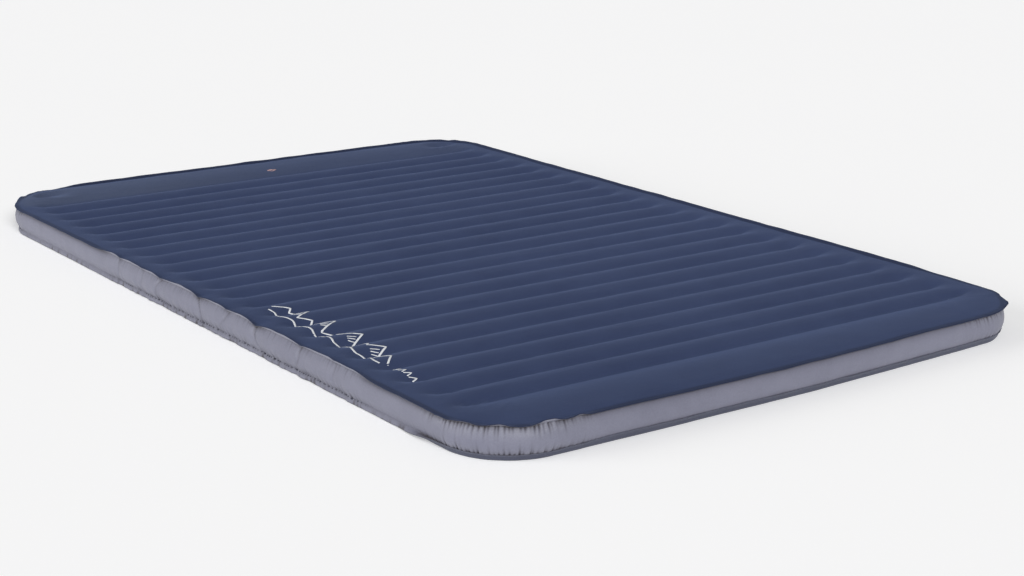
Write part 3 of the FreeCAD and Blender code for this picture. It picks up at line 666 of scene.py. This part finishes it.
def wallPoint(place, outward, lower, upper, v, s):
    # a point of the wall, v from foot to top and s metres along, with its painted shade and its paler streak,
    # a painted highlight
    x, y = place.x, place.y
    rest = 1 - abs(2 * v - 1) ** wall["roundness"]
    out = bulge * rest
    folds, corner = leftFolds(x, y), cornerness(x, y)
    out -= wall["valveDent"] * rest * nearValve(x, y)
    out += lower[0] * (1 - v) + upper[0] * v
    dark = 0.0
    if x < -0.5 and abs(y) < 0.9:
        for k, (mark, strength) in enumerate(seam["creases"]):
            slant = mark + 0.026 * math.sin(3.1 * k + 0.8) * (v - 0.9) + 0.006 * math.sin(2.2 * k + 5 * v)
            across = (y - slant) / wall["creaseWidth"]
            strength *= 0.3 + 0.7 * v ** 1.4
            fold = strength * math.exp(-across * across)
            out -= wall["creaseDepth"] * fold
            out += 0.0009 * strength * math.exp(-((across - 2.2) / 1.3) ** 2)
            # painted shade: dark along each crease fold
            dark += 0.75 * strength * math.exp(-(across * 1.7) ** 2)
        out += folds * (0.0016 * pillow(y) - 0.0008) * math.sin(math.pi * v)
    low, high = max(corner, folds * 0.9, 0.06), max(corner, folds * 0.3, 0.06)
    upperFold, lowerFold = pleat(s, 31, (1 - v) * tall), pleat(s, 33, v * tall)
    out -= wall["gatherDepth"] * (high * upperFold + low * lowerFold)
    out += 0.0009 * ripple(x, y + v * 0.02, 0.09, 35) * rest
    out += 0.0004 * ripple(x, y + v * 0.03, 0.03, 36) * rest
    z = wallLevels[0] + tall * v + lower[1] * (1 - v) + upper[1] * v
    flat = place + outward * out
    standing = smooth(math.degrees(upper[2]) / 60)
    hanging = smooth(-math.degrees(lower[2]) / 30)
    # painted shade: a dark line under the top rim, a dark line at the bottom seam and dark gather valleys
    shade = 0.9 * math.exp(-(1 - v) * 0.044 / 0.0035) * (1 - 0.85 * standing)
    shade += (0.8 - 0.62 * hanging) * math.exp(-v * 0.044 / 0.003)
    shade += 0.95 * (high * upperFold + low * lowerFold)
    # painted highlight: paler streaks between the gathers near the seams
    nearSeam = high * math.exp(-((1 - v) * tall / 0.011) ** 2)
    nearSeam += 0.5 * low * math.exp(-(v * tall / 0.008) ** 2)
    streak = nearSeam * max(0.5 - upperFold - lowerFold, 0)
    return Vector((flat.x, flat.y, z)), min(shade + dark, 1.0), streak


def headWall(z):
    # how far out the head end's wall stands at a height
    v = (z - wallLevels[0]) / tall
    return seamHalfLength + (bulge - wall["valveDent"]) * (1 - min(abs(2 * v - 1), 1) ** wall["roundness"])


def openHole(points, index, columns, centre, radius):
    # moves the wall's grid round a valve onto a circle, and returns the grid points inside it
    leftOut = set()
    for (c, r), p in index.items():
        point = points[p]
        if point.y < seamHalfLength - 0.02 or abs(point.x - centre.x) > 0.034 or r in (0, wall["rows"]):
            continue
        u = (columns[c][0].x - centre.x) / radius
        v = (r - wall["rows"] / 2) / (wall["rows"] / 2 - 1)
        ring = max(abs(u), abs(v))
        if ring > 1.38:
            continue
        if ring < 0.999:
            leftOut.add((c, r))
            continue
        angle = math.atan2(v, u)
        spreadOut = (ring - 1) / 0.4
        circleX = centre.x + math.cos(angle) * radius * (1 + spreadOut * 0.42)
        circleZ = centre.z + math.sin(angle) * radius * (1 + spreadOut * 0.36)
        keep = smooth(spreadOut)
        point.x += (circleX - point.x) * (1 - keep)
        point.z += (circleZ - point.z) * (1 - keep)
        point.y += (headWall(point.z) - point.y) * (1 - keep)
    return leftOut


columns = walkSeam(wall["longCount"], wall["shortCount"], wall["cornerCount"])
points, faces, index = [], [], {}
highlightAndPaleLipWall, paintedShadeWall = [], []
travelled, previous = 0.0, columns[0][0]
for c, (place, outward) in enumerate(columns):
    travelled += (place - previous).length
    previous = place
    lower, upper = bottomRim(place.x, place.y), topRim(place.x, place.y)
    standing = smooth(math.degrees(upper[2]) / 60)
    hanging = smooth(-math.degrees(lower[2]) / 30)
    # painted shade on the lower lip: dark at rest, in its crumples and where it hangs
    crumple = hanging * max(gather(place.x, place.y, 0.012, 37) - 0.32, 0)
    column = [(rimPoint(place, outward, along, lower, bottomSeam, lipDrop),
               min(rest * (1 - hanging) + strong * crumple + edge * hanging, 1), 0)
              for along, rest, strong, edge in wall["lowerLip"]]
    column += [wallPoint(place, outward, lower, upper, r / wall["rows"], travelled)
               for r in range(wall["rows"] + 1)]
    # painted shade under a lying upper lip; a standing upper lip is paler
    column += [(rimPoint(place, outward, along, upper, topSeam, -lipDrop),
                0.9 * (1 - standing), 0.55 * standing)
               for along in wall["upperLip"]]
    for r, (point, shade, streak) in enumerate(column):
        index[c, r - 3] = len(points)
        points.append(point)
        highlightAndPaleLipWall.append(streak)
        paintedShadeWall.append(shade)
wallIndex = {key: p for key, p in index.items() if 0 <= key[1] <= wall["rows"]}
leftOut = set()
for centre in valveCentres.values():
    leftOut |= openHole(points, wallIndex, columns, centre, valveHole)
for c in range(len(columns)):
    after = (c + 1) % len(columns)
    for r in range(-3, wall["rows"] + 3):
        corners = ((c, r), (after, r), (after, r + 1), (c, r + 1))
        if not any(k in leftOut for k in corners):
            faces.append(tuple(index[k] for k in reversed(corners)))
used = sorted({p for face in faces for p in face})
renumber = {p: k for k, p in enumerate(used)}
sideWall = newPiece("wallFabric", [points[p] for p in used],
                    [tuple(renumber[p] for p in face) for face in faces], greyCloth)
setAttribute(sideWall, "wear_and_highlight", [highlightAndPaleLipWall[p] for p in used])
setAttribute(sideWall, "painted_shade", [paintedShadeWall[p] for p in used])
thicken(sideWall, seam["lining"])
applyModifiers(sideWall)
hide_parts("side_wall")
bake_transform(sideWall)
print("side wall done:", len(sideWall.data.polygons), "faces")

under = {
    "roll": 0.008,              # radius of the rolled edge
    "weldDepth": 0.0016,        # how far a weld line lifts off the ground
    "rowSteps": 8,
    "insets": (0.0, 0.0008, 0.0024, 0.0048, 0.008, 0.013, 0.022, 0.038, 0.06, 0.1),
}


def underHeight(x, y):
    inset = seamInset(x, y)
    t = min(max(1 - inset / under["roll"], 0.0), 1.0)
    z = bottomSeam * (1 - math.sqrt(max(1 - t * t, 0.0)))
    away = min(abs(y - g) for g in grooveLines) / 0.012
    z += under["weldDepth"] * math.exp(-away * away) * smooth((0.56 - abs(x)) / 0.04)
    gathered = max(cornerness(x, y), leftFolds(x, y)) * smooth(1 - inset / 0.03) * smooth(inset / 0.004)
    z += 0.0007 * gather(x, y, 0.012, 41) * gathered
    return z


points, faces, rings = borderMesh(xs, lengthStations(under["rowSteps"]), under["insets"],
                                  3, underHeight, bottomRim, bottomSeam, flip=-1.0)
bottomSheet = newPiece("bottomFabric", points, faces, slateCloth)
rubBottom = [0.0] * len(points)
for vertex in rings[-1]:
    rubBottom[vertex] = 0.3
setAttribute(bottomSheet, "wear_and_highlight", rubBottom)
thicken(bottomSheet, seam["fabric"])
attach(bottomSheet, "base")
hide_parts("bottom_sheet")
print("underside done")

baffle = {
    "thickness": 0.0006, "foot": 0.005, "steps": 90,
    "wave": 0.0016,              # how far the film ripples between its welds
    "room": 0.0007,              # from the film to the top fabric's inner face
    "rows": (0, 0.17, 0.34, 0.5, 0.66, 0.83, 1),
}
insulation = {
    "thickness": 0.0018, "round": 0.004, "steps": 84,
    "gap": 0.006,                # from a strip to the groove beside it
    "room": 0.0006,              # from a strip to the top fabric's inner face
}
baffleHalf = baffleHigh[0]
filmLow = seam["fabric"] + under["weldDepth"] + 0.0002


def underTop(x, y, clear):
    # the highest place inside the top fabric at x, y
    place = settled(Vector((x, y, 0.2)))
    hit = topSurface.ray_cast(place, Vector((0, 0, -1)))[0]
    return hit.z - seam["fabric"] - clear


def makeBaffle(number, groove):
    # a film welded to the top and bottom fabric by a narrow foot, slightly rippled in between
    film = []
    for i in range(baffle["steps"] + 1):
        x = -baffleHalf + 2 * baffleHalf * i / baffle["steps"]
        wave = baffle["wave"] * ripple(x, groove, 0.05, 51)
        ceiling = [underTop(x, y, baffle["room"]) for y in (groove, groove - baffle["foot"])]
        filmHigh = min(*ceiling, baffleHigh[2])
        column = [(x, groove + baffle["foot"], filmLow)]
        column += [(x, groove + wave * math.sin(math.pi * h), filmLow + (filmHigh - filmLow) * h)
                   for h in baffle["rows"]]
        column += [(x, groove - baffle["foot"], filmHigh)]
        film.append(column)
    height = len(film[0])
    points = [Vector(p) for column in film for p in column]
    faces = [(c * height + r, (c + 1) * height + r, (c + 1) * height + r + 1, c * height + r + 1)
             for c in range(baffle["steps"]) for r in range(height - 1)]
    piece = newPiece(f"baffleFilm{number:02d}", points, faces, filmCloth)
    thicken(piece, baffle["thickness"], offset=0)
    applyModifiers(piece)
    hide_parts(f"baffle_{number:02d}")
    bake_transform(piece)


for number, (low, high) in enumerate(baffleBoxes, start=1):
    makeBaffle(number, (low[1] + high[1]) / 2)
print(len(baffleNames), "baffle films done")

insulationLow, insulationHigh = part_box("insulation_strips")
points, faces = [], []
edges = [insulationLow[1]] + grooveLines + [insulationHigh[1]]
for a, b in zip(edges, edges[1:]):
    near = a + (0 if a == insulationLow[1] else insulation["gap"])
    far = b - (0 if b == insulationHigh[1] else insulation["gap"])
    across = [near, near + 0.002, near + 0.008]                # finer rows along the rounded edges
    across += [near + 0.008 + (far - near - 0.016) * i / 6 for i in range(1, 6)]
    across += [far - 0.008, far - 0.002, far]
    start, wide = len(points), len(across)
    for i in range(insulation["steps"] + 1):
        x = -insulationHigh[0] + 2 * insulationHigh[0] * i / insulation["steps"]
        for y in across:
            edge = min(y - near, far - y, x + insulationHigh[0], insulationHigh[0] - x)
            plump = math.sqrt(max(1 - (1 - min(edge / insulation["round"], 1)) ** 2, 0.0))
            level = insulationHigh[2] - 0.0011 + 0.0009 * plump + 0.0003 * ripple(x, y, 0.02, 61)
            points.append(Vector((x, y, min(level, underTop(x, y, insulation["room"])))))
    for i in range(insulation["steps"]):
        for k in range(wide - 1):
            first = start + i * wide + k
            faces.append((first, first + wide, first + wide + 1, first + 1))
batting = newPiece("insulationStrips", points, faces, battingCloth)
thicken(batting, insulation["thickness"])
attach(batting, "top")
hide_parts("insulation_strips")
print("insulation done")

valve = {"ringGap": 0.0015, "ringThickness": 0.0008, "ringSteps": 72, "ringRows": 4}


def makeWeldRing(side):
    # the fabric ring that welds the drum to the wall, just inside it and curved like it
    low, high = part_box(f"{side}_valve_weld_ring")
    centre = valveCentres[side]
    inner, outer = drumRadius + 0.0001, (high[2] - low[2]) / 2 - 0.0002
    points, faces = [], []
    rows, steps = valve["ringRows"], valve["ringSteps"]
    radii = [inner + (outer - inner) * i / rows for i in range(rows + 1)]
    for i in range(steps):
        a = 2 * math.pi * i / steps
        for radius in radii:
            z = centre.z + math.sin(a) * radius
            y = headWall(z) - seam["lining"] - valve["ringGap"]
            points.append(Vector((centre.x + math.cos(a) * radius, y, z)))
    for i in range(steps):
        here, after = i * (rows + 1), (i + 1) % steps * (rows + 1)
        faces += [(here + k, after + k, after + k + 1, here + k + 1) for k in range(rows)]
    piece = newPiece(f"{side}WeldRing", points, faces, slateCloth, soft=False)
    thicken(piece, valve["ringThickness"])
    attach(piece, f"{side}_valve")
    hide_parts(f"{side}_valve_weld_ring")


finishes = {"housing": shellPlastic, "lid": shellPlastic, "gasket": sealRubber,
            "flap": sealRubber, "cap": capPlastic}
for side in ("left", "right"):
    makeWeldRing(side)
    for part, finish in finishes.items():
        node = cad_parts[f"{side}_valve_{part}"]
        if not node.material_slots:
            node.data.materials.append(None)
        for materialSlot in node.material_slots:
            materialSlot.link = "OBJECT"
            materialSlot.material = finish
print("valves finished")

# printed marks without lettering: a ridge line with hatching over a wave, chevrons, and a lozenge at the head
mark = {
    "origin": (-0.546, -0.185),      # start of the large mark; it runs towards the near end
    "line": 0.0034, "hatch": 0.0021, "chevron": 0.0024, "head": 0.003,      # widths of the strokes
    "lift": 0.00045, "ink": 0.0003, "step": 0.003,
    # a mountain ridge: summits and saddles from the far end to the near end
    "ridge": ((0, 0.014), (0.022, 0.040), (0.034, 0.030), (0.056, 0.058), (0.086, 0.018),
              (0.104, 0.038), (0.116, 0.028), (0.142, 0.062), (0.176, 0.014), (0.196, 0.036),
              (0.208, 0.026), (0.238, 0.060), (0.268, 0.020), (0.286, 0.042), (0.298, 0.032),
              (0.320, 0.056), (0.352, 0.012), (0.372, 0.034), (0.402, 0.008)),
    "summits": (3, 7, 11, 15),       # which points of the ridge carry hatching
    "headPlace": (0.035, 0.868), "headWidth": 0.011,
}


def strokePoints(path, step):
    # evenly placed points along a path of straight runs
    placed = [Vector(path[0])]
    for a, b in zip(path, path[1:]):
        a, b = Vector(a), Vector(b)
        count = max(1, round((b - a).length / step))
        placed += [a.lerp(b, (i + 1) / count) for i in range(count)]
    return placed


def printStrokes(name, paths, width, material, place):
    # thin strips of ink on the top fabric, one for each path
    points, faces = [], []
    for path in paths:
        run = [place(p) for p in strokePoints(path, mark["step"])]
        for k, p in enumerate(run):
            before, after = run[max(k - 1, 0)], run[min(k + 1, len(run) - 1)]
            along = (after - before).normalized()
            side = Vector((-along.y, along.x)) * width / 2
            for q in (p + side, p, p - side):
                hit = topSurface.ray_cast(Vector((q.x, q.y, 0.2)), Vector((0, 0, -1)))[0]
                points.append(Vector((q.x, q.y, hit.z + mark["lift"])))
            if k:
                n = len(points)
                faces += [(n - 6, n - 5, n - 2, n - 3), (n - 5, n - 4, n - 1, n - 2)]
    piece = newPiece(name, points, faces, material, soft=False)
    thicken(piece, mark["ink"])
    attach(piece, "top")


def onSide(p):
    # from the mark's own plane to the pad, beside its left edge
    return Vector((mark["origin"][0] + p.y, mark["origin"][1] - p.x))


swell = [(0.012 + 0.38 * k / 60, 0.001 + 0.0035 * math.sin(k * 0.62)) for k in range(61)]
summits = [mark["ridge"][k] for k in mark["summits"]]
hatching = [((a + 0.004 + 0.007 * k, h - 0.015 - 0.006 * k), (a - 0.004 + 0.007 * k, h - 0.029 - 0.003 * k))
            for a, h in summits for k in range(3)]
chevrons = [((0.428 + 0.016 * k, 0.002), (0.434 + 0.016 * k, 0.014), (0.440 + 0.016 * k, 0.002))
            for k in range(4)]
printStrokes("ridgePrint", [mark["ridge"], swell], mark["line"], whitePrint, onSide)
printStrokes("hatchPrint", hatching, mark["hatch"], whitePrint, onSide)
printStrokes("chevronPrint", chevrons, mark["chevron"], whitePrint, onSide)
hx, hy = mark["headPlace"]
s = mark["headWidth"]
lozenge = [(-s, 0), (0, s * 0.55), (s, 0), (0, -s * 0.55), (-s, 0)]
inner = [(-s * 0.45, 0), (0, s * 0.25), (s * 0.45, 0)]
printStrokes("headPrint", [lozenge, inner], mark["head"], rosePrint, lambda p: Vector((hx + p.x, hy + p.y)))
print("printed marks done")

studio = {
    "floor": (0.815, 0.815, 0.82), "floorHalf": 30, "floorLevel": -0.0005,
    "glow": 0.3, "fill": 0.27,
    # name, where it stands, strength, how soft
    "lights": (("keyLight", (-0.25, -1.0, 0.5), 2.4, 20.0),
               ("sideLight", (-1.0, 0.35, 0.22), 2.3, 44.0)),
    "camera": (-2.105, -3.170, 1.002), "aim": (-0.1095, -0.3264, 0.0577), "lens": 68.8,
}
floorMaterial, make, tree, shader = newMaterial("paleFloor")
coords = make("ShaderNodeTexCoord").outputs["Object"]
dust = make("ShaderNodeTexNoise", {"Vector": coords}, in_Scale=0.7, in_Detail=2.0)
tone = make("ShaderNodeMix", {"Factor": dust.outputs["Fac"]}, data_type="RGBA")
tone.inputs["A"].default_value = (*studio["floor"], 1)
tone.inputs["B"].default_value = (*(c * 0.985 for c in studio["floor"]), 1)
tree.links.new(tone.outputs["Result"], shader.inputs["Base Color"])
shader.inputs["Roughness"].default_value = 0.85
shader.inputs["Specular IOR Level"].default_value = 0.1
shader.inputs["Emission Color"].default_value = (1, 1, 1, 1)
shader.inputs["Emission Strength"].default_value = studio["glow"]    # lights up like a studio sweep
half = studio["floorHalf"]
floorCorners = [Vector((x * half, y * half, studio["floorLevel"]))
                for x, y in ((-1, -1), (1, -1), (1, 1), (-1, 1))]
floor = newPiece("studioFloor", floorCorners, [(0, 1, 2, 3)], floorMaterial, soft=False)
floor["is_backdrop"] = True

world = bpy.data.worlds.new("softRoom")
world.use_nodes = True
background = world.node_tree.nodes["Background"]
background.inputs[0].default_value = (1.0, 1.0, 1.0, 1)
background.inputs[1].default_value = studio["fill"]
scene.world = world


def aimAt(obj, target):
    obj.rotation_mode = "QUATERNION"
    obj.rotation_quaternion = (Vector(target) - obj.location).to_track_quat("-Z", "Y")


for name, place, strength, softness in studio["lights"]:
    lamp = bpy.data.objects.new(name, bpy.data.lights.new(name, "SUN"))
    lamp.data.energy = strength
    lamp.data.angle = math.radians(softness)
    lamp.location = place
    aimAt(lamp, (0, 0, 0))
    scene.collection.objects.link(lamp)

camera = bpy.data.objects.new("camera", bpy.data.cameras.new("camera"))
camera.location = studio["camera"]
camera.data.lens = studio["lens"]
camera.data.sensor_width = 36
camera.data.clip_end = 100
aimAt(camera, studio["aim"])
scene.collection.objects.link(camera)
scene.camera = camera
scene.view_settings.view_transform = "Standard"
print("studio ready")

low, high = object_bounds()
